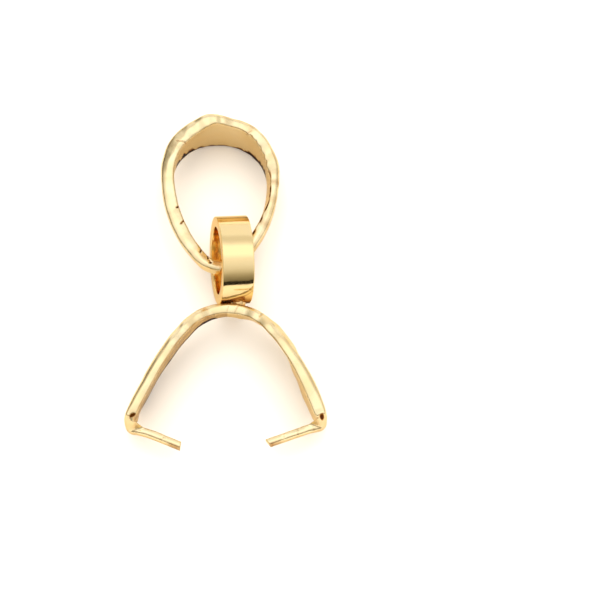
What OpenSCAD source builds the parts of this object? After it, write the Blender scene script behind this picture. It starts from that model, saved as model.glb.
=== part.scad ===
// Pinch bail for a pendant, lying flat: a leaf-shaped sheet loop runs loosely through a
// short link ring, and the ring is soldered to the apex of a sprung arch with two prongs.
// Millimetres. X to the right, Y towards the crest of the loop, Z up from the surface.

/* [Bail loop] */
// Outside width of the loop
loop_w = 4.05; // [3.4:0.05:5.4]
// Outside height of the loop, from its crest to its narrow end
loop_h = 5.5; // [4.8:0.05:7.5]
// Outside radius of the narrow end
loop_tip_r = 1.04; // [0.9:0.02:1.4]
// Thickness of the loop's sheet
loop_sheet = 0.38; // [0.26:0.01:0.46]
// Width of the leaf-shaped strip at the crest
crest_w = 2.3; // [1.6:0.05:3.2]
// Width of the strip where it runs through the ring
neck_w = 0.5; // [0.36:0.02:0.8]
// Turn of the lying loop about its own length
loop_roll = 4; // [0:0.5:8]
// Air between the lying loop and the bore of the ring
clearance = 0.06; // [0.03:0.01:0.12]

/* [Link ring] */
// Outside diameter of the ring
ring_od = 3.05; // [2.8:0.05:4]
// Wall of the ring
ring_wall = 0.36; // [0.26:0.01:0.44]
// Width of the ring along its axis
ring_w = 1.1; // [0.7:0.05:1.4]
// Turn of the ring on its solder, left end up
ring_yaw = 9; // [0:0.5:12]
// Lean of the ring on its solder, foot to the right
ring_lean = 4.2; // [0:0.1:5]
// Step of the ring to the right of the apex of the arch
ring_offset = 0.15; // [0:0.01:0.3]

/* [Pinch arch] */
// Outside width across the two bends
pinch_w = 6.84; // [5.8:0.01:9]
// Outside height from the apex to the prong tips
pinch_h = 5; // [4.3:0.05:6.2]
// Thickness of the arch's sheet
pinch_sheet = 0.38; // [0.26:0.01:0.48]
// Width of the strip at the apex
apex_w = 0.65; // [0.5:0.05:1.2]
// Width of the strip at its widest on the arms
arm_w = 2.1; // [1.4:0.05:2.8]
// Slope of the strip where the tight curve of the apex ends
apex_turn = 48; // [42:1:56]
// Slope of the arm where it reaches the bend
arm_slope = 72.5; // [68:0.5:82]
// Step of the left bend below the right one
bend_step = 0.07; // [0:0.01:0.2]
// Gap between ring and apex that the solder fills
solder_gap = 0.05; // [0.02:0.01:0.1]
// Radius of the solder joint
solder_r = 0.2; // [0.12:0.02:0.26]

/* [Prongs] */
// Length of the left prong past its bend
prong_l = 1.73; // [1:0.01:2.4]
// How much longer the right prong is
prong_more = 0.16; // [-0.3:0.01:0.3]
// Thickness of a prong
prong_t = 0.25; // [0.18:0.01:0.3]
// Width of a prong and of the bend that carries it
prong_w = 0.46; // [0.3:0.02:0.7]
// Slope of the left prong
left_slope = 22.5; // [10:0.5:30]
// Slope of the right prong
right_slope = 19.5; // [10:0.5:30]
// Middle radius of the bend between arm and prong
bend_r = 0.17; // [0.17:0.01:0.3]

/* [Hidden] */
$fn = 72;
// Neighbouring stretches of sheet differ by this much on each face and reach into each other
seam = 0.015;
lap = 0.03;
GOLD = [0.93, 0.76, 0.42];
PALE_GOLD = [0.97, 0.84, 0.52];

// Reach of the loop's leaf from its middle plane on the way from crest to neck, as shares
// of the change from neck to crest, on the right and on the left as drawn: way, near edge,
// far edge.
RIGHT_LEAF = [
    [0.00, 0.85, 0.94],
    [0.03, 0.55, 0.93],
    [0.08, 0.66, 0.89],
    [0.14, 0.72, 0.82],
    [0.21, 0.74, 0.73],
    [0.31, 0.58, 0.57],
    [0.45, 0.34, 0.34],
    [0.62, 0.14, 0.14],
    [0.78, 0.06, 0.06],
    [0.90, 0.02, 0.02],
    [1.00, 0.00, 0.00],
];
LEFT_LEAF = [
    [0.00, 0.85, 0.94],
    [0.03, 0.98, 0.93],
    [0.08, 0.86, 0.89],
    [0.14, 0.70, 0.82],
    [0.21, 0.62, 0.72],
    [0.31, 0.52, 0.56],
    [0.45, 0.34, 0.34],
    [0.62, 0.16, 0.14],
    [0.78, 0.08, 0.06],
    [0.90, 0.02, 0.02],
    [1.00, 0.00, 0.00],
];

// Nicks in the near edge of the loop, on the left as drawn: way from crest to neck, and how
// much of the sheet's thickness the nick takes from the inside
NICKS = [[0.61, 0.3], [0.69, 0.5], [0.86, 0.4]];
nick_w = 0.05;
nick_depth = 0.08;

// Reach of the arms' strip from its middle plane on the way from apex to bend, as shares
// of the change from apex to arm, or from prong to arm past the widest row: way, near edge,
// far edge.
BLADE = [
    [0.00, 0.00, 0.00],
    [0.10, 0.12, 0.12],
    [0.20, 0.36, 0.38],
    [0.32, 0.64, 0.70],
    [0.46, 0.88, 0.92],
    [0.62, 1.00, 1.00],
    [0.78, 1.00, 0.97],
    [0.89, 0.96, 0.82],
    [0.96, 0.92, 0.45],
    [1.00, 0.88, 0.10],
];
widest_way = 0.62;

function to_deg(run, radius) = run / radius * 180 / PI;
function stretch_run(stretch) = stretch[0] * stretch[1] * PI / 180;
function rest(list) = [for (i = [1 : 1 : len(list) - 1]) list[i]];
function path_run(path) = len(path) == 0 ? 0 : stretch_run(path[0]) + path_run(rest(path));

// Point and slope on a path of bent stretches, each a radius and a turn, that start at the
// origin along +X and turn to the right
function along(path, run, at = [0, 0], slope = 0) =
    let (
        radius = path[0][0],
        ends = len(path) == 1 || run <= stretch_run(path[0]),
        turn = ends ? to_deg(run, radius) : path[0][1],
        to = at + radius * [sin(slope + turn) - sin(slope), cos(slope + turn) - cos(slope)]
    )
    ends ? [to[0], to[1], slope + turn]
    : along(rest(path), run - stretch_run(path[0]), to, slope + turn);

// Loop: crest, side and narrow end of the middle line run into each other on either side
crest_r = (loop_w - loop_sheet) / 2;
tip_r = loop_tip_r - loop_sheet / 2;
tip_drop = loop_h - loop_sheet - crest_r - tip_r;
side_r = (tip_drop * tip_drop + crest_r * crest_r - tip_r * tip_r) / (2 * (crest_r - tip_r));
side_turn = asin(tip_drop / (side_r - tip_r));
loop_path = [[crest_r, 90], [side_r, side_turn], [tip_r, 90 - side_turn]];

function leaf_reach(share) = (neck_w + share * (crest_w - neck_w)) / 2;

// Height of the loop's inner face above the crest's centre, at a distance from the middle
function inner_y(x) =
    x < (tip_r - loop_sheet / 2) * cos(side_turn)
    ? -tip_drop - sqrt(pow(tip_r - loop_sheet / 2, 2) - x * x)
    : -sqrt(pow(side_r - loop_sheet / 2, 2) - pow(x + side_r - crest_r, 2));

// Place of the lying loop in the ring: it has slid left, and its right side nears the bore
bore_r = ring_od / 2 - ring_wall;
free_r = bore_r - clearance;
loop_slide = 0.38 * ring_w;
top_in_ring = 0.78 * free_r;
neck_drop = sqrt(free_r * free_r - top_in_ring * top_in_ring) - leaf_reach(RIGHT_LEAF[8][2]);
loop_centre_y = top_in_ring - inner_y(ring_w / 2 + loop_slide);

// Heights and tilts at which crest, ring and arms touch the surface
ring_z = ring_od / 2 * cos(ring_yaw) + ring_w / 2 * sin(ring_yaw);
crest_y = loop_centre_y + crest_r;
crest_reach = leaf_reach(RIGHT_LEAF[0][2]) + 0.01;
loop_z = ring_z - neck_drop;
loop_tilt = acos(loop_z / norm([crest_y, crest_reach])) - atan2(crest_y, crest_reach);

// Arch: a tight curve at the apex and the long bow of each arm. Their radii follow from
// where the arm ends, at two given slopes. A thinner tongue goes round the bend.
tongue_t = prong_t + 2 * seam;
tongue_step = (pinch_sheet - tongue_t) / 2 - seam;
mean_slope = (left_slope + right_slope) / 2;
function prong_slope(side) = side > 0 ? right_slope : left_slope;
arm_x = (pinch_w - bend_step / tan(arm_slope)) / 2 - bend_r - tongue_t / 2
    + (bend_r - tongue_step) * sin(arm_slope);
arm_y = pinch_h - (pinch_sheet + bend_step) / 2 - (bend_r - tongue_step) * cos(arm_slope)
    - (bend_r + prong_t / 2) * cos(mean_slope) - 0.93 * prong_l * sin(mean_slope);
along_x = sin(arm_slope) - sin(apex_turn);
along_y = cos(apex_turn) - cos(arm_slope);
arch_det = sin(apex_turn) * along_y - (1 - cos(apex_turn)) * along_x;
apex_r = (arm_x * along_y - arm_y * along_x) / arch_det;
bow_r = (sin(apex_turn) * arm_y - (1 - cos(apex_turn)) * arm_x) / arch_det;
bow_more = to_deg(bend_step / sin(arm_slope), bow_r);
function bow_turn(side) = arm_slope - apex_turn + (side < 0 ? bow_more : 0);
function arch_path(side) = [[apex_r, apex_turn], [bow_r, bow_turn(side)]];

function blade_reach(way, share) =
    let (end_w = way < widest_way ? apex_w : prong_w)
    (end_w + share * (arm_w - end_w)) / 2;

apex_y = -ring_od / 2 - solder_gap - pinch_sheet / 2;
widest_y = -apex_y + 0.8 * arm_y;
pinch_tilt = asin(ring_z / norm([widest_y, arm_w / 2])) - atan2(arm_w / 2, widest_y);
middle_y = (crest_y + loop_sheet / 2 + apex_y + pinch_sheet / 2 - pinch_h) / 2;

// A bent stretch of sheet in outline, turning to the right from one angle to another about
// the origin, where 0 is straight up
module bend(radius, from, to, sheet) {
    reach = 3 * (radius + sheet);
    intersection() {
        difference() {
            circle(radius + sheet / 2);
            circle(radius - sheet / 2);
        }
        polygon(concat([[0, 0]], [for (i = [0 : 3]) let (a = from + i * (to - from) / 3)
            reach * [sin(a), cos(a)]]));
    }
}

// The same with both ends reaching into the neighbouring stretches
module lapped_bend(radius, from, to, sheet) {
    more = to_deg(lap, radius);
    bend(radius, from - more, to + more, sheet);
}

module after(stretch) {
    translate([0, -stretch[0]]) rotate(-stretch[1]) translate([0, stretch[0]]) children();
}

// Places its children on both sides, as drawn on the right and mirrored on the left
module both_sides() {
    children();
    mirror([1, 0, 0]) children();
}

// Sections across a path at rows of run, near height and far height, mirrored for the left
function sections(path, rows, side, sheet) = [for (row = rows)
    let (
        p = along(path, row[0]),
        out = 0.9 * sheet * [side * sin(p[2]), cos(p[2])],
        at = [side * p[0], p[1]],
        near = row[1],
        far = row[2]
    )
    [[at[0] - out[0], at[1] - out[1], far], [at[0] + out[0], at[1] + out[1], far],
        [at[0] + out[0], at[1] + out[1], near], [at[0] - out[0], at[1] - out[1], near]]];

function backwards(list) = [for (i = [len(list) - 1 : -1 : 0]) list[i]];

// Band from section to section, either with two ends or all the way round
module band(all, closed = false) {
    count = len(all);
    polyhedron([for (section = all) for (corner = section) corner],
        concat(
            closed ? [] : [[0, 1, 2, 3], [for (k = [3 : -1 : 0]) 4 * (count - 1) + k]],
            [for (i = [0 : closed ? count - 1 : count - 2]) for (k = [0 : 3])
                let (a = 4 * i, b = 4 * ((i + 1) % count), next = (k + 1) % 4)
                for (face = [[a + k, b + k, b + next], [a + k, b + next, a + next]]) face]));
}

module loop_outline() {
    lapped_bend(crest_r, -90, 90, loop_sheet - 2 * seam);
    both_sides() translate([crest_r - side_r, 0]) bend(side_r, 90, 90 + side_turn, loop_sheet);
    translate([0, -tip_drop]) lapped_bend(tip_r, 90 + side_turn, 270 - side_turn, loop_sheet - 2 * seam);
}

function leaf_sections(leaf, side) = sections(
    loop_path,
    [for (row = leaf) [row[0] * path_run(loop_path), leaf_reach(row[1]), -leaf_reach(row[2])]],
    side, loop_sheet);

module bail_loop() {
    color(PALE_GOLD)
        translate([ring_offset - loop_slide, -middle_y, loop_z])
        rotate([loop_tilt, 0, 0])
        translate([0, loop_centre_y, 0])
        rotate([0, loop_roll, 0])
        difference() {
            intersection() {
                linear_extrude(2 * crest_w, center = true) loop_outline();
                translate([0, crest_r])
                    band(concat(leaf_sections(RIGHT_LEAF, 1),
                        rest(backwards(rest(leaf_sections(LEFT_LEAF, -1))))), true);
            }
            mirror([1, 0, 0]) translate([0, crest_r]) for (nick = NICKS) nick(nick[0], nick[1]);
        }
}

// Cutter for a nick that leans across the near edge of the loop's right side
module nick(way, share) {
    at = along(loop_path, way * path_run(loop_path));
    near = leaf_reach(lookup(way, [for (row = LEFT_LEAF) [row[0], row[1]]]));
    translate([at[0], at[1], near - nick_depth]) rotate(-at[2] - 25)
        translate([-nick_w / 2, -loop_sheet, 0])
        cube([nick_w, loop_sheet * (0.5 + share), crest_w]);
}

module link_ring() {
    rotate([0, ring_yaw, ring_lean]) rotate([0, 90, 0]) difference() {
        cylinder(h = ring_w, r = ring_od / 2, center = true);
        cylinder(h = 2 * ring_w, r = bore_r, center = true);
    }
}

// Solder from the middle of the apex's sheet to the middle of the ring's wall
module solder() {
    translate([0, apex_y, 0]) rotate([-90, 0, 0])
        cylinder(h = (pinch_sheet + ring_wall) / 2 + solder_gap, r = solder_r);
}

module arch_outline() {
    translate([0, -apex_r]) lapped_bend(apex_r, -apex_turn, apex_turn, pinch_sheet - 2 * seam);
    for (side = [1, -1]) mirror([side < 0 ? 1 : 0, 0])
        translate([0, -apex_r]) translate((apex_r - bow_r) * [sin(apex_turn), cos(apex_turn)])
        bend(bow_r, apex_turn, apex_turn + bow_turn(side), pinch_sheet);
}

function blade_sections(side) =
    let (run = path_run(arch_path(side)))
    sections(
        arch_path(side),
        [for (row = BLADE)
            [row[0] * run, blade_reach(row[0], row[1]), -blade_reach(row[0], row[2])]],
        side, pinch_sheet);

// Prong along +X, its tip cut askew
module prong(length) {
    linear_extrude(prong_w - 2 * seam, center = true)
        polygon([[-lap, -prong_t / 2], [-lap, prong_t / 2], [length * 0.93, prong_t / 2],
            [length, prong_t * 0.2], [length * 0.9, -prong_t / 2]]);
}

// Bend and prong at the end of an arm, on the right as drawn
module tongue(side) {
    slope = apex_turn + bow_turn(side);
    turn = 180 - slope - prong_slope(side);
    end = along(arch_path(side), path_run(arch_path(side)));
    translate([end[0], end[1]]) rotate(-slope) translate([0, tongue_step - bend_r]) {
        linear_extrude(prong_w, center = true)
            bend(bend_r, -to_deg(lap, bend_r), turn, tongue_t);
        rotate(-turn) translate([0, bend_r]) prong(prong_l + (side > 0 ? prong_more : 0));
    }
}

module arch() {
    intersection() {
        linear_extrude(2 * arm_w, center = true) arch_outline();
        band(concat(backwards(rest(blade_sections(-1))), blade_sections(1)));
    }
    tongue(1);
    mirror([1, 0, 0]) tongue(-1);
}

module ring_and_pinch() {
    color(GOLD)
        translate([0, -middle_y, ring_z])
        rotate([pinch_tilt, 0, 0]) {
            translate([ring_offset, 0, 0]) link_ring();
            translate([ring_offset + ring_w * 0.2, 0, 0]) solder();
            translate([0, apex_y, 0]) arch();
        }
}

bail_loop();
ring_and_pinch();
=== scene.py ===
import math

import bmesh
import bpy
from mathutils import Matrix, Vector, noise


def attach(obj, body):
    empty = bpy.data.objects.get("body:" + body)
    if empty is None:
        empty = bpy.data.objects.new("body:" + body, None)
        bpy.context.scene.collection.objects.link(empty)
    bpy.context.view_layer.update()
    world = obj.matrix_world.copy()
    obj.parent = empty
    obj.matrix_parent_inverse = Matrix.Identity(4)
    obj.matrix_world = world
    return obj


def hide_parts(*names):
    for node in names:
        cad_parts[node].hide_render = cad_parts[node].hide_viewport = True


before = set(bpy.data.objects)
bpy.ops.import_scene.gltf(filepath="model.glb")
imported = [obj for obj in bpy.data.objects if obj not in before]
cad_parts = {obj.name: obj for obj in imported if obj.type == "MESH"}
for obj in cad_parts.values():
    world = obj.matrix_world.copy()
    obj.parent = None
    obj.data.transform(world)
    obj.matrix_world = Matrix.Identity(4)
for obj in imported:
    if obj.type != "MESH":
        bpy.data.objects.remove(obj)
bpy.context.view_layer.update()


# Bail loop: the part that a chain runs through. A leaf-shaped strip of brass sheet, sheared
# to outline, bent round until its ends meet near the ring, soldered there and gilt. Its
# near edge was dressed with a hammer and file, which left it wavy, faceted and nicked.

# Lengths in this file are millimetres, and each mesh is brought to metres when it is placed.
MM = 0.001

loop_w = 4.05
loop_h = 5.5
loop_tip_r = 1.04
loop_sheet = 0.38
loop_corner = 0.06
crest_w = 2.3
neck_w = 0.5
# The point in the ring's bore that the loop is turned about, its turns in degrees, and how
# far from there the bend of its crest has its centre
loop_place = (-0.268, 0.706, 1.205)
loop_tilt = -1.14
loop_roll = 4
loop_centre_y = 3.137

crest_r = (loop_w - loop_sheet) / 2
tip_r = loop_tip_r - loop_sheet / 2
tip_drop = loop_h - loop_sheet - crest_r - tip_r
side_r = (tip_drop**2 + crest_r**2 - tip_r**2) / (2 * (crest_r - tip_r))
side_turn = math.degrees(math.asin(tip_drop / (side_r - tip_r)))
loop_path = [(crest_r, 90), (side_r, side_turn), (tip_r, 90 - side_turn)]
half_run = sum(radius * math.radians(turn) for radius, turn in loop_path)

# Reach of the leaf from its middle plane on the way from crest to neck, as shares of the
# change from neck to crest: way, near edge, far edge
RIGHT_LEAF = [
    (0.00, 0.83, 0.94), (0.07, 0.67, 0.90), (0.10, 0.67, 0.87), (0.14, 0.72, 0.82),
    (0.21, 0.74, 0.73), (0.31, 0.58, 0.57), (0.45, 0.34, 0.34), (0.62, 0.14, 0.14),
    (0.78, 0.06, 0.06), (0.90, 0.02, 0.02), (1.00, 0.00, 0.00),
]
LEFT_LEAF = [
    (0.00, 0.83, 0.94), (0.04, 0.94, 0.93), (0.08, 0.86, 0.89), (0.14, 0.70, 0.82),
    (0.21, 0.62, 0.72), (0.31, 0.52, 0.56), (0.45, 0.34, 0.34), (0.62, 0.16, 0.14),
    (0.78, 0.08, 0.06), (0.90, 0.02, 0.02), (1.00, 0.00, 0.00),
]
# How the hammer has moved the near edge: run from the crest, less than 0 on the left, then
# how far the outer face stands out there and how far the inner face stands in
HAMMERED = [
    (-6.6, 0.00, 0.00), (-6.0, 0.07, 0.00), (-5.0, 0.09, 0.02), (-4.0, 0.08, 0.02),
    (-3.2, 0.07, 0.00), (-2.4, 0.09, 0.00), (-1.9, 0.13, 0.01), (-1.5, 0.12, 0.03),
    (-1.1, 0.09, 0.04), (-0.55, 0.09, 0.01), (-0.2, 0.02, -0.03), (0.25, -0.03, -0.01),
    (0.6, 0.00, -0.03), (1.0, -0.02, -0.01), (1.6, -0.04, 0.04), (2.1, -0.03, 0.05),
    (2.6, 0.01, 0.05), (3.1, 0.00, -0.06), (3.8, 0.00, -0.10), (4.4, 0.00, -0.03),
    (5.0, 0.00, 0.00),
]
# How far in from the near edge hammer and file reached, the dome that they left, their
# waves and facets, and the scallops on the inner corner of the right shoulder
loop_dressed_w = 0.5
loop_dome = 0.015
loop_wave, loop_wave_l = 0.012, 0.3
loop_facet, loop_facet_l, loop_facet_slant = 0.014, 0.42, 0.1
scallop_depth, scallop_l = 0.05, 0.3
scallop_from, scallop_to, scallop_fade = 0.95, 2.75, 0.2
# How the file has dressed the near edge: run from the crest, how far the outer corner is
# taken down, and where across the sheet the facet starts, from -1 inside to 1 outside
DRESSED = [
    (-6.5, 0.05, 0.3), (-5.0, 0.07, 0.3), (-4.2, 0.07, 0.3), (-3.6, 0.07, 0.3),
    (-3.0, 0.09, 0.2), (-2.6, 0.15, 0.1), (-2.1, 0.18, -0.1), (-1.6, 0.14, -0.1),
    (-1.1, 0.08, 0.3), (-0.5, 0.03, 0.5),
    (0.4, 0.05, 0.3), (1.0, 0.03, 0.5), (1.8, 0.07, 0.4), (2.8, 0.08, 0.3),
    (3.8, 0.06, 0.2), (5.0, 0.06, 0.1), (6.5, 0.04, 0.3),
]
# Nicks across the near edge: run from the crest, depth, and the share of the sheet that
# they cross, counted from the inner face
NICKS = [(-4.23, 0.07, 0.30), (-4.80, 0.05, 0.50), (-6.05, 0.08, 0.40), (-1.72, 0.02, 0.7),
         (1.12, 0.015, 0.5), (5.62, 0.03, 0.5)]
nick_w = 0.06
nick_slant = 0.1
# A nick as deep as this is painted dark all over, as shade in its groove
fully_shaded_depth = 0.06
# The joint of the strip's ends: its run at the inner face, and how far it leans over half the
# sheet, wavers, gapes and goes down
joint_from = -6.26
joint_slant = 0.3
joint_waver = 0.08
joint_w = 0.09
joint_depth = 0.07
# Stretches where the inner corner of the right side was creased, from run to run, darkened with
# painted shade
SHADED_CREASES = [(2.75, 3.0), (3.3, 3.7), (3.8, 4.25), (4.4, 4.7), (5.0, 5.4)]
crease_fade = 0.12
crease_depth = 0.015
# How dark the painted shade in them is, how uneven that is, and over what length
crease_shade, crease_uneven, crease_uneven_l = 0.62, 0.5, 0.1
# How far in the shears left the far edge ragged, by how much, and the length of its waves
loop_sheared_w = 0.2
loop_ragged, loop_ragged_l = 0.03, 0.2
# How far up the inner face a painted contact shadow darkens the far edge: run, height
CONTACT_SHADE = [
    (-2.35, 0.00), (-2.1, 0.34), (-1.7, 0.42), (-1.2, 0.26), (-0.9, 0.14), (-0.2, 0.07),
    (0.3, 0.08), (0.9, 0.15), (1.4, 0.32), (1.9, 0.46), (2.3, 0.46), (2.6, 0.30), (2.8, 0.00),
]
# How uneven that height is, over what length, and how softly the dark ends
loop_dark_uneven, loop_dark_l, loop_dark_fade = 0.9, 0.16, 0.08


def clamped(value):
    """Value kept from 0 to 1."""
    return min(1.0, max(0.0, value))


def along(path, run):
    """Point and slope on a line of bent stretches, each a radius and a turn in degrees, that
    starts at the origin along +X and turns to the right, then goes straight on."""
    x = y = slope = 0.0
    for radius, turn in path:
        angle = min(run / radius, math.radians(turn))
        x += radius * (math.sin(slope + angle) - math.sin(slope))
        y += radius * (math.cos(slope + angle) - math.cos(slope))
        slope += angle
        run -= radius * angle
    return x + run * math.cos(slope), y - run * math.sin(slope), slope


def between(rows, at, column):
    """Value of a column of a table at a place in its first column, eased from row to row."""
    if at <= rows[0][0]:
        return rows[0][column]
    for low, high in zip(rows, rows[1:]):
        if at <= high[0]:
            way = (at - low[0]) / (high[0] - low[0])
            return low[column] + (high[column] - low[column]) * way * way * (3 - 2 * way)
    return rows[-1][column]


def lengthwise(mesh, least):
    """Edges that run along X for more than a least length."""
    return [e for e in mesh.edges if abs(e.verts[0].co.x - e.verts[1].co.x) > least]


# How often a bar of sheet is divided across its width and through its thickness, how much
# more than the rounded corner keeps its size when it is widened, and how close two corners
# are when they are welded
across_cuts = 13
through_cuts = 7
edge_more = 0.01
weld = 0.002


def bar_of_sheet(run, sheet, corner, stations, closed):
    """A straight bar along X, its width from -1 at the far edge to 1 at the near edge, with
    rounded corners. A closed one is left open at both ends, to be joined when it is bent."""
    bar = bmesh.new()
    bmesh.ops.create_cube(bar, size=1)
    bmesh.ops.scale(bar, vec=(run, 2, sheet), verts=bar.verts)
    bmesh.ops.bevel(bar, geom=lengthwise(bar, run / 2), offset=corner, segments=3,
                    profile=0.5, affect="EDGES", material=-1)
    across = [e for e in bar.edges if abs(e.verts[0].co.y - e.verts[1].co.y) > 1]
    bmesh.ops.subdivide_edges(bar, edges=across, cuts=across_cuts, use_grid_fill=True)
    through = [e for e in bar.edges if abs(e.verts[0].co.z - e.verts[1].co.z) > sheet / 4]
    bmesh.ops.subdivide_edges(bar, edges=through, cuts=through_cuts, use_grid_fill=True)
    if closed:
        ends = [f for f in bar.faces if abs(f.normal.x) > 0.9]
        bmesh.ops.delete(bar, geom=ends, context="FACES_ONLY")
    bmesh.ops.subdivide_edges(bar, edges=lengthwise(bar, run / 2), cuts=stations,
                              use_grid_fill=True)
    return bar


def spread(share, near, far, corner):
    """Height on the strip for a place across the bar: an edge keeps its real size, and the
    middle stretches with the width, its lines crowded towards the edges."""
    edge = corner + edge_more
    inner = 1 - edge
    if share > inner:
        return near - (1 - share)
    if share < -inner:
        return -far + (1 + share)
    crowded = (1 + math.sin(share / inner * math.pi / 2)) / 2
    return crowded * (near + far - 2 * edge) - far + edge


# How far the file has taken down the inner corners everywhere
inner_taken = 0.03


def dressed(rows, run, out):
    """How far the file has taken down an edge at a place across it."""
    taken, ridge = between(rows, run, 1), between(rows, run, 2)
    if out > ridge:
        return taken * (out - ridge) / (1 - ridge)
    return inner_taken * (ridge - out) / (1 + ridge)


def facet(at, length, seed):
    """Height of a line of flat facets about as long as given, from -1 to 1. Each seed gives
    another line."""
    step = math.floor(at / length)
    # Places 1.7 apart in the noise hardly depend on each other, and it seldom passes 0.6
    low, high = (noise.noise(Vector((1.7 * (step + k), seed, 0.5))) for k in (0, 1))
    return 1.6 * (low + (high - low) * (at / length - step))


def within(stretches, run, fade):
    """How far inside one of several stretches a run lies, from 0 to 1 over the fade."""
    return max(clamped(min(run - low, high - run) / fade + 0.5) for low, high in stretches)


def ripple(at, length, seed):
    """Smooth unevenness from -1 to 1 with waves of about the given length. Each seed gives
    another line."""
    return noise.noise(Vector((at / length, seed, 0.37 * seed)))


def groove(distance, width):
    """Depth share of a rounded groove at a distance from its middle line."""
    return max(0.0, 1 - (2 * distance / width) ** 2) if abs(distance) < width / 2 else 0.0


def place(mesh, matrix):
    """Brings a bmesh from its own millimetres to its place in the row frame, in metres."""
    bmesh.ops.transform(mesh, matrix=Matrix.Scale(MM, 4) @ matrix, verts=mesh.verts)


def finished(mesh, name, material, node):
    """Makes an object of the mesh, hangs it on the root body and hides the CAD part that it
    stands for.
    """
    bmesh.ops.recalc_face_normals(mesh, faces=mesh.faces)
    for face in mesh.faces:
        face.smooth = True
    data = bpy.data.meshes.new(name)
    mesh.to_mesh(data)
    mesh.free()
    data.materials.append(material)
    piece = bpy.data.objects.new(name, data)
    bpy.context.scene.collection.objects.link(piece)
    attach(piece, "root")
    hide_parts(node)


def turned(angle, axis):
    """Turn by an angle in degrees."""
    return Matrix.Rotation(math.radians(angle), 4, axis)


def linear(code):
    """Linear colour of an sRGB hex value."""
    parts = [int(code[i:i + 2], 16) / 255 for i in (1, 3, 5)]
    return [p / 12.92 if p < 0.04045 else ((p + 0.055) / 1.055) ** 2.4 for p in parts] + [1]


def add(tree, kind, settings, links=()):
    """Adds a node, sets its properties and sockets, by name or number, and links to it."""
    made = tree.nodes.new(kind)
    for key, value in settings.items():
        if isinstance(key, int) or key in made.inputs:
            made.inputs[key].default_value = value
        else:
            setattr(made, key, value)
    for key, source in links:
        tree.links.new(source, made.inputs[key])
    return made


# Gilding: bright yellow gold over tumbled brass. It mirrors its surroundings softly, with a
# faint wave from tumbling, slightly duller patches, orange brown where scale, bruises and wear
# show, dark brown in cracks, and brown painted shade in nicks, creases, pits and contact
# shadows.
gold_tone = "#F5DBA6"
pale_tone = "#FFF0CA"
warm_tone = "#F8DCA0"
scale_and_shade_tone = "#A86A22"
bare_and_shade_tone = "#50290A"
edge_tone = "#FBE6BE"
patch_size = 0.9
wave_size, wave_depth = 0.45, 0.03
grain_size, grain_depth, grain_strength = 0.05, 0.002, 0.15
bare_metallic = 0.75
# Numbers of the colour sockets of a Mix node: two that go in and the one that comes out
FIRST, SECOND, MIXED = 6, 7, 2


def gilding(name, tone, roughness, wave):
    """A gilt finish of a tone, with how rough it is and how much the tumbled waves show."""
    material = bpy.data.materials.new(name)
    material.use_nodes = True
    tree = material.node_tree
    tree.nodes.clear()
    at = add(tree, "ShaderNodeTexCoord", {}).outputs["Object"]
    patch = add(tree, "ShaderNodeTexNoise",
                {"Scale": 1 / (patch_size * MM), "Detail": 3.0}, [("Vector", at)])
    shade = add(tree, "ShaderNodeMix",
                {"data_type": "RGBA", FIRST: linear(tone), SECOND: linear(warm_tone)},
                [("Factor", patch.outputs["Fac"])])
    stain_and_shade_share = add(tree, "ShaderNodeAttribute", {"attribute_name": "stain_and_shade"}).outputs["Fac"]
    # The attribute holds real stains and painted shade alike: orange brown at 0.4, dark brown
    # from 0.9
    brown = add(tree, "ShaderNodeValToRGB", {}, [("Fac", stain_and_shade_share)])
    for element, (position, code) in zip(brown.color_ramp.elements,
                                         ((0.4, scale_and_shade_tone), (0.9, bare_and_shade_tone))):
        element.position, element.color = position, linear(code)
    cover = add(tree, "ShaderNodeMapRange", {"From Max": 0.5}, [("Value", stain_and_shade_share)])
    colour = add(tree, "ShaderNodeMix", {"data_type": "RGBA"},
                 [("Factor", cover.outputs["Result"]), (FIRST, shade.outputs[MIXED]),
                  (SECOND, brown.outputs["Color"])])
    glance = add(tree, "ShaderNodeMix",
                 {"data_type": "RGBA", FIRST: linear(edge_tone), SECOND: linear(bare_and_shade_tone)},
                 [("Factor", stain_and_shade_share)])
    # From patch to patch it is up to a quarter smoother or a third duller
    dull = add(tree, "ShaderNodeMapRange",
               {"To Min": roughness * 0.75, "To Max": roughness * 1.3},
               [("Value", patch.outputs["Fac"])])
    # Scale, bare brass and painted shade are dull and scatter the light
    scaled = add(tree, "ShaderNodeMapRange", {"To Min": 1.0, "To Max": bare_metallic},
                 [("Value", stain_and_shade_share)])
    waves = add(tree, "ShaderNodeTexNoise",
                {"Scale": 1 / (wave_size * MM), "Detail": 2.0}, [("Vector", at)])
    grain = add(tree, "ShaderNodeTexNoise",
                {"Scale": 1 / (grain_size * MM), "Detail": 2.0}, [("Vector", at)])
    wavy = add(tree, "ShaderNodeBump", {"Strength": wave, "Distance": wave_depth * MM},
               [("Height", waves.outputs["Fac"])])
    grainy = add(tree, "ShaderNodeBump",
                 {"Strength": grain_strength, "Distance": grain_depth * MM},
                 [("Height", grain.outputs["Fac"]), ("Normal", wavy.outputs["Normal"])])
    shader = add(tree, "ShaderNodeBsdfPrincipled", {},
                 [("Base Color", colour.outputs[MIXED]), ("Roughness", dull.outputs["Result"]),
                  ("Metallic", scaled.outputs["Result"]),
                  ("Specular Tint", glance.outputs[MIXED]),
                  ("Normal", grainy.outputs["Normal"])])
    add(tree, "ShaderNodeOutputMaterial", {}, [("Surface", shader.outputs["BSDF"])])
    return material


# Brown tones by surface: the unpolished inner face, and the worn patches of the near edge on
# the left and the right, with their length
inner_stain = 0.05
left_worn, right_worn, loop_patch_l = 0.08, 0.16, 0.3
loop_stations = 460

hammered_gilding = gilding("hammered_gilding", pale_tone, roughness=0.24, wave=0.5)

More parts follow.
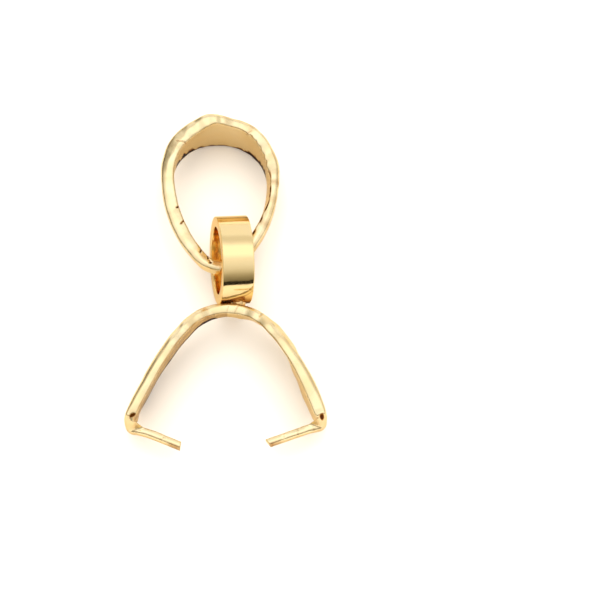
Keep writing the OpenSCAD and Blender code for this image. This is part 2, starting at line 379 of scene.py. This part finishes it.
loop = bar_of_sheet(2 * half_run, loop_sheet, loop_corner, loop_stations, closed=True)
stain_and_shade = loop.verts.layers.float.new("stain_and_shade")
for corner in loop.verts:
    run, share, height = corner.co.x, corner.co.y, corner.co.z
    left = run < 0
    side = -1 if left else 1
    way = abs(run) / half_run
    near, far = ((neck_w + between(LEFT_LEAF if left else RIGHT_LEAF, way, column)
                  * (crest_w - neck_w)) / 2 for column in (1, 2))
    # Place through the sheet from -1 at the inner face to 1 at the outer one
    out = 2 * height / loop_sheet
    z = spread(share, near, far, loop_corner)
    at_edge = max(0.0, 1 - (near - z) / loop_dressed_w)
    at_far_edge = max(0.0, 1 - (z + far) / loop_sheared_w)
    stain_and_shade_share = inner_stain if out < -0.8 else 0.0

    # The hammer spread the near edge in waves, differently on either face
    hammered = between(HAMMERED, run, 1 if height > 0 else 2) * (share + 1) / 2
    thick = height + out * hammered
    thick += out * at_edge * loop_wave * ripple(run, loop_wave_l, 3 if height > 0 else 8)
    if out < 0:
        scalloped = within([(scallop_from, scallop_to)], run, scallop_fade) * at_edge ** 4
        dip = abs(math.sin(math.pi * run / scallop_l)) - 0.5
        thick += out * scalloped * scallop_depth * dip
    z -= at_edge * (dressed(DRESSED, run, out) + loop_dome * out * out)
    z += at_edge * loop_facet * facet(run + loop_facet_slant * out, loop_facet_l, 12)

    # The far edge is ragged, and darkened along the inner face by a painted contact shadow
    if at_far_edge > 0:
        z += loop_ragged * at_far_edge * ripple(run, loop_ragged_l, 31)
    if out < -0.4:
        uneven = 1 + loop_dark_uneven * ripple(run, loop_dark_l, 37)
        dark = between(CONTACT_SHADE, run, 1) * uneven - (z + far)
        stain_and_shade_share = max(stain_and_shade_share, clamped(dark / loop_dark_fade + 0.5))

    if share > 0.8:
        for nick_run, nick_depth, crossed in NICKS:
            if out < 2 * crossed - 1:
                nick = groove(run - nick_run - nick_slant * out * side, nick_w)
                z -= nick * nick_depth
                # Painted shade darkens each nick, the more the deeper it is
                stain_and_shade_share = max(stain_and_shade_share, clamped(1.5 * nick) * clamped(nick_depth / fully_shaded_depth))
        # The joint of the strip's ends is an open, crooked crack on the inner half
        if out < 0.15:
            crooked = joint_from - joint_slant * (out + 1) + joint_waver * ripple(out, 0.3, 44)
            crack = groove(run - crooked, joint_w)
            z -= joint_depth * crack
            stain_and_shade_share = max(stain_and_shade_share, 1.5 * crack)
        if not left and out < -0.6 and near - z < 1.2 * loop_corner:
            # Painted shade darkens the creases of the inner corner
            crease = within(SHADED_CREASES, run, crease_fade)
            crease *= crease_shade + crease_uneven * ripple(run, crease_uneven_l, 47)
            z -= crease_depth * crease
            stain_and_shade_share = max(stain_and_shade_share, crease)
    if at_edge > 0.8:
        patchy = 0.2 + 1.6 * ripple(run, loop_patch_l, 57) + 0.4 * out
        stain_and_shade_share = max(stain_and_shade_share, (left_worn if left else right_worn) * patchy)
    corner[stain_and_shade] = clamped(stain_and_shade_share)

    x, y, slope = along(loop_path, abs(run))
    corner.co = Vector((side * (x + thick * math.sin(slope)),
                        crest_r + y + thick * math.cos(slope), z))
bmesh.ops.remove_doubles(loop, verts=loop.verts, dist=weld)
place(loop, Matrix.Translation(loop_place) @ turned(loop_tilt, "X")
      @ Matrix.Translation((0, loop_centre_y, 0)) @ turned(loop_roll, "Y"))
finished(loop, "hammered_bail_loop", hammered_gilding, "bail_loop")


# Link ring: a short piece of brass tube that joins loop and pinch. It was sawn off, its
# rims were broken with a file, and it was polished before gilding, so it mirrors cleanly.
ring_od = 3.05
ring_wall = 0.36
ring_w = 1.1
ring_yaw = 9
ring_lean = 4.2
ring_offset = 0.15
rim_round = 0.035
ring_steps = 128
# How unevenly the tube was drawn, as a share of its radius, and over how long a turn
swell, swell_turn = 0.004, 0.7
# How brown the painted shade on the foot is, and how far round from its lowest point
foot_shade = 0.6
foot_reach = math.radians(26)
# Middle of the ring's bore, and the tilt of ring and pinch about it as they lie, in degrees
ring_place = (0, 0.706, 1.592)
pinch_tilt = 6.47
# Corners closer than this along an axis share their place on it
same_place = 0.001

in_finding = Matrix.Translation(ring_place) @ turned(pinch_tilt, "X")
ring = bmesh.new()
wall = [ring.verts.new((x, 0, ring_od / 2 - z)) for x, z in (
    (-ring_w / 2, 0), (ring_w / 2, 0), (ring_w / 2, ring_wall), (-ring_w / 2, ring_wall))]
outline = [ring.edges.new((wall[i], wall[(i + 1) % 4])) for i in range(4)]
bmesh.ops.spin(ring, geom=wall + outline, cent=(0, 0, 0), axis=(1, 0, 0),
               angle=math.tau, steps=ring_steps, use_merge=True)
bmesh.ops.remove_doubles(ring, verts=ring.verts, dist=weld)
rims = [e for e in ring.edges if abs(e.verts[0].co.x - e.verts[1].co.x) < same_place
        and abs(e.verts[0].co.yz.length - e.verts[1].co.yz.length) < same_place]
bmesh.ops.bevel(ring, geom=rims, offset=rim_round, segments=4, profile=0.5,
                affect="EDGES", material=-1)
bmesh.ops.subdivide_edges(ring, edges=lengthwise(ring, ring_w / 2), cuts=5,
                          use_grid_fill=True)
stain_and_shade = ring.verts.layers.float.new("stain_and_shade")
for corner in ring.verts:
    angle = math.atan2(corner.co.y, corner.co.z)
    # Painted shade makes the foot brown where it meets the pinch, up to the rims, which were
    # filed bright
    if abs(corner.co.x) < ring_w / 2 - rim_round + same_place:
        corner[stain_and_shade] = foot_shade * max(0.0, 1 - abs(angle + math.pi / 2) / foot_reach)
    swollen = 1 + swell * ripple(angle, swell_turn, 51)
    corner.co.y *= swollen
    corner.co.z *= swollen
place(ring, in_finding @ Matrix.Translation((ring_offset, 0, 0))
      @ turned(ring_lean, "Z") @ turned(ring_yaw, "Y"))
mirror_gilding = gilding("mirror_gilding", gold_tone, roughness=0.1, wave=0.12)
finished(ring, "link_ring", mirror_gilding, "ring_and_pinch")


# Solder: the bead that was run between the foot of the ring and the apex of the pinch,
# a little to the right of the middle, and gilt with them.
solder_r = 0.2
bead_form = (1.25, 1, 1.15)
bead_place = (ring_offset + 0.2 * ring_w, -ring_od / 2 - 0.01, 0.02)
# How lumpy the bead is, as a share of its size, and how far apart the lumps are
lumpy, lump_l = 0.12, 0.6 * solder_r
# How brown the bead is painted, as shade in the recess between ring and pinch
bead_shade = 0.2

bead = bmesh.new()
bmesh.ops.create_uvsphere(bead, u_segments=32, v_segments=20, radius=solder_r)
bmesh.ops.scale(bead, vec=bead_form, verts=bead.verts)
stain_and_shade = bead.verts.layers.float.new("stain_and_shade")
for corner in bead.verts:
    # Painted shade of the recess between ring and pinch
    corner[stain_and_shade] = bead_shade
    corner.co *= 1 + lumpy * noise.noise(corner.co / lump_l)
place(bead, in_finding @ Matrix.Translation(bead_place))
finished(bead, "solder_bead", mirror_gilding, "ring_and_pinch")


# Pinch: one strip of springy brass sheet, sheared to a long double leaf with a narrow tongue
# at each end, bent over a round bar at the apex and sharply inwards where the tongues become
# prongs, which close on the drilled pendant from both sides.
pinch_sheet = 0.38
pinch_corner = 0.06
apex_w = 0.65
arm_w = 2.1
# Radii of the bends at apex, arm and shoulder, the turn of the first, the slope at the end
# of the arms, and how much more the left arm is turned, in degrees
apex_r = 1.821
bow_r = 8.903
bend_r = 0.17
apex_turn = 48
arm_slope = 72.5
bow_more = 0.47
# Length, thickness and width of the prongs, how steeply each goes down to its tip, and how
# much longer the right one is, then how thick the tongue is at the bend and how far its
# middle lies inside of the arm's
prong_l = 1.73
prong_t = 0.25
prong_w = 0.46
left_slope = 22.5
right_slope = 19.5
prong_more = 0.16
bend_t = 0.3
tongue_step = 0.035
# The gap that the solder fills, and the middle of the sheet at the apex from the ring's
solder_gap = 0.05
apex_y = -ring_od / 2 - solder_gap - pinch_sheet / 2

# Reach of the arms from their middle plane on the way from apex to bend, as shares of the
# change from apex to arm, or from prong to arm past the widest row: way, near edge, far edge
BLADE = [
    (0.00, 0.00, 0.00), (0.10, 0.12, 0.12), (0.20, 0.36, 0.34), (0.32, 0.64, 0.64),
    (0.46, 0.88, 0.90), (0.62, 1.00, 1.00), (0.78, 1.00, 0.97), (0.89, 0.97, 0.82),
    (0.94, 0.96, 0.60), (0.985, 0.93, 0.25), (1.06, 0.00, 0.00),
]
widest_way = 0.62


def pinch_path(left):
    """The bent stretches of one arm, from the apex to where its prong starts."""
    bow_turn = arm_slope - apex_turn + (bow_more if left else 0)
    slope = left_slope if left else right_slope
    bend_turn = 180 - apex_turn - bow_turn - slope
    return [(apex_r, apex_turn), (bow_r, bow_turn), (bend_r - tongue_step, bend_turn)]


def stretch(path, count):
    """Run over the first few stretches of a path."""
    return sum(radius * math.radians(turn) for radius, turn in path[:count])


# How the file has dressed the near edge of either arm: run from the apex, how far the outer
# corner is taken down, and where across the sheet the facet starts
LEFT_DRESSED = [(0.0, 0.02, 0.5), (0.8, 0.05, 0.2), (2.0, 0.10, 0.25), (3.6, 0.09, 0.2),
                (4.8, 0.06, 0.3), (5.4, 0.02, 0.5)]
RIGHT_DRESSED = [(0.0, 0.02, 0.5), (0.8, 0.05, 0.5), (1.6, 0.08, 0.2), (3.0, 0.07, 0.3),
                 (4.2, 0.09, 0.3), (4.9, 0.04, 0.5), (5.4, 0.02, 0.5)]
# How far up the inner face of the left arm a painted contact shadow darkens the far edge: run,
# height
LEFT_CONTACT_SHADE = [(0.3, 0.00), (0.5, 0.30), (1.2, 0.40), (1.7, 0.22), (2.6, 0.36), (3.6, 0.20),
                (4.4, 0.30), (5.0, 0.00)]
# How uneven that height is, over what length, and how softly the dark ends
arm_dark_uneven, arm_dark_l, arm_dark_fade = 0.6, 0.3, 0.1
# How much the arms were twisted when they were bent, as the lean of the far edge outwards
LEFT_TWIST = [(0.6, 0.00), (1.4, 0.02), (2.4, 0.04), (3.4, 0.06), (4.8, 0.06), (5.4, 0.00)]
RIGHT_TWIST = [(0.4, 0.00), (1.0, 0.12), (1.7, 0.17), (2.4, 0.14), (3.3, 0.03), (4.2, -0.02),
               (5.0, -0.02), (5.4, 0.00)]
# Marks of the file and the pliers across the near edge: run, less than 0 on the left, depth,
# and the part of the sheet that they cross, from -1 inside to 1 outside
MARKS = [
    (0.02, 0.012, -0.9, 0.5), (0.30, 0.02, -0.9, 0.6), (1.15, 0.05, 0.1, 0.9),
    (5.72, 0.03, -1.0, 1.0), (6.30, 0.015, -1.0, 1.0), (6.80, 0.03, -1.0, 1.0),
    (-5.80, 0.015, -1.0, 1.0), (-6.65, 0.02, -1.0, 1.0),
]
mark_w = 0.05
mark_slant = 0.05
# How dark the marks are painted, as shade in their grooves
mark_shade = 0.15
# How far the left arm stands out from its smooth bow: run from the apex
LEFT_SET = [(2.0, 0.00), (3.0, -0.03), (4.0, -0.03), (5.45, 0.07), (5.8, 0.03), (6.4, 0.00)]
# How far the hammer spread either side of the near edge above the right shoulder
SPREAD = [(2.8, 0.00), (4.0, 0.04), (5.0, 0.04), (5.5, 0.00)]
# The pit at the top of each shoulder, painted dark as shade: run before the bend, place
# across the sheet, and how far it leans along the arm over half the sheet
LEFT_PIT = (0.07, -0.4, -0.08)
RIGHT_PIT = (-0.01, 0.0, 0.04)
# Half the pits' length along the arm, half their width as a share of half the sheet, and
# their depth
pit_l, pit_w, pit_depth = 0.10, 0.55, 0.05
# How far in from the near edge the file reached, and the dome, waves and facets that it left,
# the facets deeper on the prongs
arm_dressed_w = 0.4
arm_dome = 0.018
arm_wave, arm_wave_l = 0.010, 0.45
arm_facet, prong_facet, arm_facet_l, arm_facet_slant = 0.009, 0.011, 0.5, 0.08
# Over what length the tongue is beaten thinner, as much before the bend as in it, and then
# the prong from the bend on
tongue_thinning, prong_thinning = 0.3, 0.4
# How far the outer corners of the prongs are beaten down, and how much fuller that made them
prong_beaten, prong_fuller = 0.05, 0.02
# How far in the far edge is ragged, by how much, and the length of its waves
arm_sheared_w = 0.25
arm_ragged, arm_ragged_l = 0.03, 0.3
# How long the cut at the tips is, and how far it leans over the sheet on either side
tip_l = 0.2
left_askew, right_askew = 0.3, 0.5
# Brown tones by surface. Painted shade on the inner faces, with how patchy it is and the
# length and width of its patches
left_inner_shade, right_inner_shade = 0.18, 0.03
inner_shade_uneven, inner_shade_l, inner_shade_w = 0.84, 0.5, 0.35
# Bruises of the pliers on the prongs and near their tips, with how far up these reach and
# fade, and how patchy the bruises are
prong_stain, tip_stain, bruise_l, bruise_fade = 0.04, 0.26, 0.55, 0.3
bruise_uneven, bruise_patch_l = 0.8, 0.15
# Dull shoulders, with how far past the start of the bend they are dullest, and how far from
# there it ends
dull_stain, dullest_at, dull_reach = 0.08, 0.15, 0.3
# Worn patches of the near edge, with their length and how far from the apex they start
worn_stain, arm_patch_l, worn_from = 0.07, 0.5, 0.35
pinch_stations = 600
# The stretch before the shoulder in which the blade narrows
shoulder_l = 0.35

pinch = bar_of_sheet(2, pinch_sheet, pinch_corner, pinch_stations, closed=False)
stain_and_shade = pinch.verts.layers.float.new("stain_and_shade")
for corner in pinch.verts:
    part, share, height = corner.co.x, corner.co.y, corner.co.z
    left = part < 0
    side = -1 if left else 1
    path = pinch_path(left)
    arm_run, bend_run = stretch(path, 2), stretch(path, 3)
    tip_run = bend_run + prong_l + (0 if left else prong_more)
    # Stations stand closer where the strip narrows and bends: part of the bar, run
    places = [(0.0, 0.0), (0.60, arm_run - shoulder_l), (0.76, arm_run), (0.88, bend_run),
              (1.0, tip_run)]
    for low, high in zip(places, places[1:]):
        if low[0] <= abs(part) <= high[0] + 1e-9:
            run = low[1] + (high[1] - low[1]) * (abs(part) - low[0]) / (high[0] - low[0])
    # The same run, less than 0 on the left
    signed = run * side
    # Place through the sheet from -1 at the inner face to 1 at the outer one
    out = 2 * height / pinch_sheet
    # Round the bend the outer face has further to go than the inner one
    bent = clamped((run - arm_run) / (bend_run - arm_run)) * (bend_run - arm_run)
    way = (run + bent * out * pinch_sheet / 2 / bend_r) / arm_run
    end_w = apex_w if way < widest_way else prong_w
    near, far = ((end_w + between(BLADE, way, column) * (arm_w - end_w)) / 2
                 for column in (1, 2))
    z = spread(share, near, far, pinch_corner)
    above_far = z + far
    at_edge = max(0.0, 1 - (near - z) / arm_dressed_w)
    at_far_edge = max(0.0, 1 - above_far / arm_sheared_w)

    # Past the shoulder the tongue is beaten thinner, its outer face flush with the arm's
    past = clamped((run - arm_run) / tongue_thinning + 0.5)
    prong = clamped((run - bend_run) / prong_thinning)
    sheet = pinch_sheet + past * (bend_t - pinch_sheet)
    sheet += prong * (prong_t + prong_fuller - bend_t)
    thick = out * sheet / 2 + past * tongue_step * (1 - prong)
    thick += between(LEFT_TWIST if left else RIGHT_TWIST, run, 1) * (near - z)
    thick += out * at_edge * arm_wave * ripple(signed, arm_wave_l, 61)
    thick += between(LEFT_SET, run, 1) if left else out * at_edge * between(SPREAD, run, 1)
    filed = dressed(LEFT_DRESSED if left else RIGHT_DRESSED, run, out)
    filed += prong * prong_beaten * max(0.0, out) ** 2
    z -= at_edge * (filed + arm_dome * out * out)
    facets = facet(signed + arm_facet_slant * out, arm_facet_l, 66)
    z += at_edge * (arm_facet + prong_facet * prong) * facets
    if at_far_edge > 0:
        z += arm_ragged * at_far_edge * ripple(signed, arm_ragged_l, 81)

    stain_and_shade_share = 0.0
    if out < -0.7 and run < arm_run:
        # Painted shade on the inner faces: a contact shadow along the left arm's far edge, and
        # patchy brown, most on the left
        uneven = 1 + arm_dark_uneven * ripple(run, arm_dark_l, 83)
        dark = between(LEFT_CONTACT_SHADE, run, 1) * uneven - above_far
        stain_and_shade_share = clamped(dark / arm_dark_fade + 0.5) if left else 0.0
        patch = noise.noise(Vector((signed / inner_shade_l, above_far / inner_shade_w, 9.1)))
        stain_and_shade_share = max(stain_and_shade_share, (left_inner_shade if left else right_inner_shade) * (1 + inner_shade_uneven * patch))
    if out > 0.1 and run > bend_run:
        # Bruised by the pliers on the outside, most at the tips
        bruised = prong_stain + tip_stain * clamped((run - tip_run + bruise_l) / bruise_fade)
        patchy = 1 + bruise_uneven * ripple(signed, bruise_patch_l, 95)
        stain_and_shade_share = clamped((out - 0.1) / 0.6) * bruised * patchy
    if share > 0.6:
        for mark_run, mark_depth, mark_from, mark_to in MARKS:
            if mark_from <= out <= mark_to:
                mark = groove(signed - mark_run - mark_slant * out, mark_w)
                z -= mark * mark_depth
                # Painted shade darkens the marks
                stain_and_shade_share = max(stain_and_shade_share, mark_shade * mark)
        before_bend, across, lean = LEFT_PIT if left else RIGHT_PIT
        pit = clamped(2 - 2 * math.hypot((run - arm_run + before_bend + lean * out) / pit_l,
                                         (out - across) / pit_w))
        z -= pit_depth * pit
        # The pit is painted fully dark, as shade
        stain_and_shade_share = max(stain_and_shade_share, pit)
    # Shoulders and bends are duller than the rest, and the near edge is worn in patches
    dulled = clamped(2 - 2 * abs(run - arm_run - dullest_at) / dull_reach)
    stain_and_shade_share = max(stain_and_shade_share, dull_stain * dulled)
    if at_edge > 0.8 and worn_from < run < arm_run:
        patchy = 0.5 + ripple(signed, arm_patch_l, 97) + (0.3 * abs(out) if left else 0.4 * out)
        stain_and_shade_share = max(stain_and_shade_share, worn_stain * patchy)
    corner[stain_and_shade] = clamped(stain_and_shade_share)

    # The tips were cut off askew, the left one from the inside, the right from the outside
    cut = max(0.0, run - tip_run + tip_l)
    run -= cut * (left_askew * (1 - out) if left else right_askew * (1 + out)) / 2
    x, y, slope = along(path, run)
    corner.co = Vector((side * (x + thick * math.sin(slope)),
                        y + thick * math.cos(slope), z))
place(pinch, in_finding @ Matrix.Translation((0, apex_y, 0)))
filed_gilding = gilding("filed_gilding", pale_tone, roughness=0.26, wave=0.28)
finished(pinch, "pinch_arms_and_prongs", filed_gilding, "ring_and_pinch")


# Floor: the plain white card that the finding lies on. It is smooth and matt, and only a
# little rougher from one patch of fibre to the next.
card_reach = 400
fibre_size = 2
card_tone = "#FDF6EC"
# In the metal the card shows no brighter than white, though so much light falls on it
mirrored_tone = "#EBE4D9"

card = bmesh.new()
bmesh.ops.create_grid(card, x_segments=1, y_segments=1, size=card_reach * MM)
card_mesh = bpy.data.meshes.new("white_card")
card.to_mesh(card_mesh)
card.free()
paper = bpy.data.materials.new("white_card")
paper.use_nodes = True
paper.node_tree.nodes.clear()
fibre = add(paper.node_tree, "ShaderNodeTexNoise", {"Scale": 1 / (fibre_size * MM)},
            [("Vector", add(paper.node_tree, "ShaderNodeTexCoord", {}).outputs["Object"])])
sheen = add(paper.node_tree, "ShaderNodeMapRange", {"To Min": 0.85, "To Max": 0.95},
            [("Value", fibre.outputs["Fac"])])
mirrored = add(paper.node_tree, "ShaderNodeLightPath", {})
shown = add(paper.node_tree, "ShaderNodeMix",
            {"data_type": "RGBA", FIRST: linear(card_tone), SECOND: linear(mirrored_tone)},
            [("Factor", mirrored.outputs["Is Glossy Ray"])])
matt = add(paper.node_tree, "ShaderNodeBsdfPrincipled", {"Specular IOR Level": 0.1},
           [("Base Color", shown.outputs[MIXED]), ("Roughness", sheen.outputs["Result"])])
add(paper.node_tree, "ShaderNodeOutputMaterial", {}, [("Surface", matt.outputs["BSDF"])])
card_mesh.materials.append(paper)
floor = bpy.data.objects.new("white_card", card_mesh)
bpy.context.scene.collection.objects.link(floor)


# Studio: a soft white tent, brightest overhead, open towards the front where the camera
# stands, so the front is dim and black at the height of the table. The left wall is
# dimmer than the right one near the table.

# Brightness by angle round the finding from the front over the top to the back, as a share
# of the half turn, and up the left and the right wall, as a share of the quarter turn
OVER = [
    (0.00, 0.02), (0.060, 0.02), (0.072, 0.22), (0.13, 0.34), (0.18, 0.49), (0.22, 0.67),
    (0.27, 0.84), (0.32, 0.95), (0.42, 1.10), (0.48, 1.40), (0.61, 1.40), (0.66, 1.00),
    (0.70, 0.86), (0.75, 0.86), (0.80, 1.06), (1.00, 1.06),
]
LEFT_WALL = [(0.0, 0.06), (0.14, 0.12), (0.30, 0.50), (0.45, 0.95), (0.65, 1.2), (1.0, 1.5)]
RIGHT_WALL = [(0.0, 0.35), (0.12, 0.55), (0.30, 0.85), (0.45, 1.0), (0.65, 1.2), (1.0, 1.5)]
brightest = 2.0
# Light that falls on the card and the dull scale, evenly from all sides
card_fill = 1.17

world = bpy.data.worlds.new("light_tent")
bpy.context.scene.world = world
world.use_nodes = True
tent = world.node_tree
tent.nodes.clear()

out_of = add(tent, "ShaderNodeSeparateXYZ", {},
             [("Vector", add(tent, "ShaderNodeTexCoord", {}).outputs["Generated"])]).outputs
towards = add(tent, "ShaderNodeMath", {"operation": "MULTIPLY", 1: -1}, [(0, out_of["Y"])])
over = add(tent, "ShaderNodeMath", {"operation": "ARCTAN2"},
           [(0, out_of["Z"]), (1, towards.outputs[0])])
over_share = add(tent, "ShaderNodeMath", {"operation": "DIVIDE", 1: math.pi},
                 [(0, over.outputs[0])])
rise = add(tent, "ShaderNodeMath", {"operation": "ARCSINE"}, [(0, out_of["Z"])])
rise_share = add(tent, "ShaderNodeMath", {"operation": "DIVIDE", 1: math.pi / 2},
                 [(0, rise.outputs[0])])
levels = []
for rows, share in ((OVER, over_share), (LEFT_WALL, rise_share), (RIGHT_WALL, rise_share)):
    ramp = add(tent, "ShaderNodeValToRGB", {}, [("Fac", share.outputs[0])])
    while len(ramp.color_ramp.elements) < len(rows):
        ramp.color_ramp.elements.new(0.5)
    for element, (position, level) in zip(ramp.color_ramp.elements, rows):
        element.position = position
        # Dim cloth looks warmer
        dim = min(1.0, level)
        element.color = [level / brightest * warm for warm in (
            1, 0.86 + 0.14 * dim, 0.5 + 0.5 * dim)] + [1]
    levels.append(ramp.outputs["Color"])
over_level, left_level, right_level = levels
to_right = add(tent, "ShaderNodeMapRange", {"From Min": -0.1, "From Max": 0.1},
               [("Value", out_of["X"])])
wall_level = add(tent, "ShaderNodeMix", {"data_type": "RGBA"},
                 [("Factor", to_right.outputs["Result"]), (FIRST, left_level),
                  (SECOND, right_level)])
sideways = add(tent, "ShaderNodeMath", {"operation": "ABSOLUTE"}, [(0, out_of["X"])])
aside = add(tent, "ShaderNodeMapRange",
            {"interpolation_type": "SMOOTHSTEP", "From Min": 0.4, "From Max": 0.75},
            [("Value", sideways.outputs[0])])
tent_level = add(tent, "ShaderNodeMix", {"data_type": "RGBA"},
                 [("Factor", aside.outputs["Result"]), (FIRST, over_level),
                  (SECOND, wall_level.outputs[MIXED])])
seen = add(tent, "ShaderNodeLightPath", {})
cloth = add(tent, "ShaderNodeBackground", {"Strength": brightest},
            [("Color", tent_level.outputs[MIXED])])
fill = add(tent, "ShaderNodeBackground", {"Color": (1, 0.99, 0.97, 1), "Strength": card_fill})
lit = add(tent, "ShaderNodeMixShader", {},
          [("Fac", seen.outputs["Is Diffuse Ray"]), (1, cloth.outputs[0]),
           (2, fill.outputs[0])])
backdrop = add(tent, "ShaderNodeBackground", {"Color": (1, 1, 1, 1), "Strength": 1.0})
both = add(tent, "ShaderNodeMixShader", {},
           [("Fac", seen.outputs["Is Camera Ray"]), (1, lit.outputs[0]),
            (2, backdrop.outputs[0])])
add(tent, "ShaderNodeOutputWorld", {}, [("Surface", both.outputs[0])])

# A soft lamp behind the tent's top lifts the card without showing in the metal.
lamp = bpy.data.lights.new("soft_top_lamp", "SUN")
lamp.energy = 1.6
lamp.angle = math.radians(64)
lamp_object = bpy.data.objects.new("soft_top_lamp", lamp)
lamp_object.rotation_euler = (math.radians(-18), 0, 0)
lamp_object.visible_glossy = False
bpy.context.scene.collection.objects.link(lamp_object)


# Camera: it looks down steeply from the front, as the photograph was taken. It stands well
# back behind a long lens, and the finding lies left of the picture's middle and above it.
camera_height = 72
camera_distance = 160
# What the picture shows from side to side, and where its middle is, seen from the ring's
picture_w = 20.76
aim_right = 2.352
aim_down = 1.384

ring_centre = Vector(ring_place) + Vector((ring_offset, 0, 0))
tall = math.radians(camera_height)
back = Vector((0, -math.cos(tall), math.sin(tall)))
right = Vector((1, 0, 0))
up = back.cross(right)
lens = bpy.data.cameras.new("camera")
lens.angle = 2 * math.atan(picture_w / 2 / camera_distance)
lens.clip_start = 1 * MM
lens.clip_end = 10
camera = bpy.data.objects.new("camera", lens)
camera.matrix_world = Matrix.Translation(
    MM * (ring_centre + camera_distance * back + aim_right * right - aim_down * up)
) @ turned(90 - camera_height, "X")
bpy.context.scene.collection.objects.link(camera)
bpy.context.scene.camera = camera
bpy.context.scene.view_settings.view_transform = "Standard"
# Light goes round inside the ring and between the gilt faces many times
bpy.context.scene.cycles.max_bounces = 16
bpy.context.scene.cycles.glossy_bounces = 12
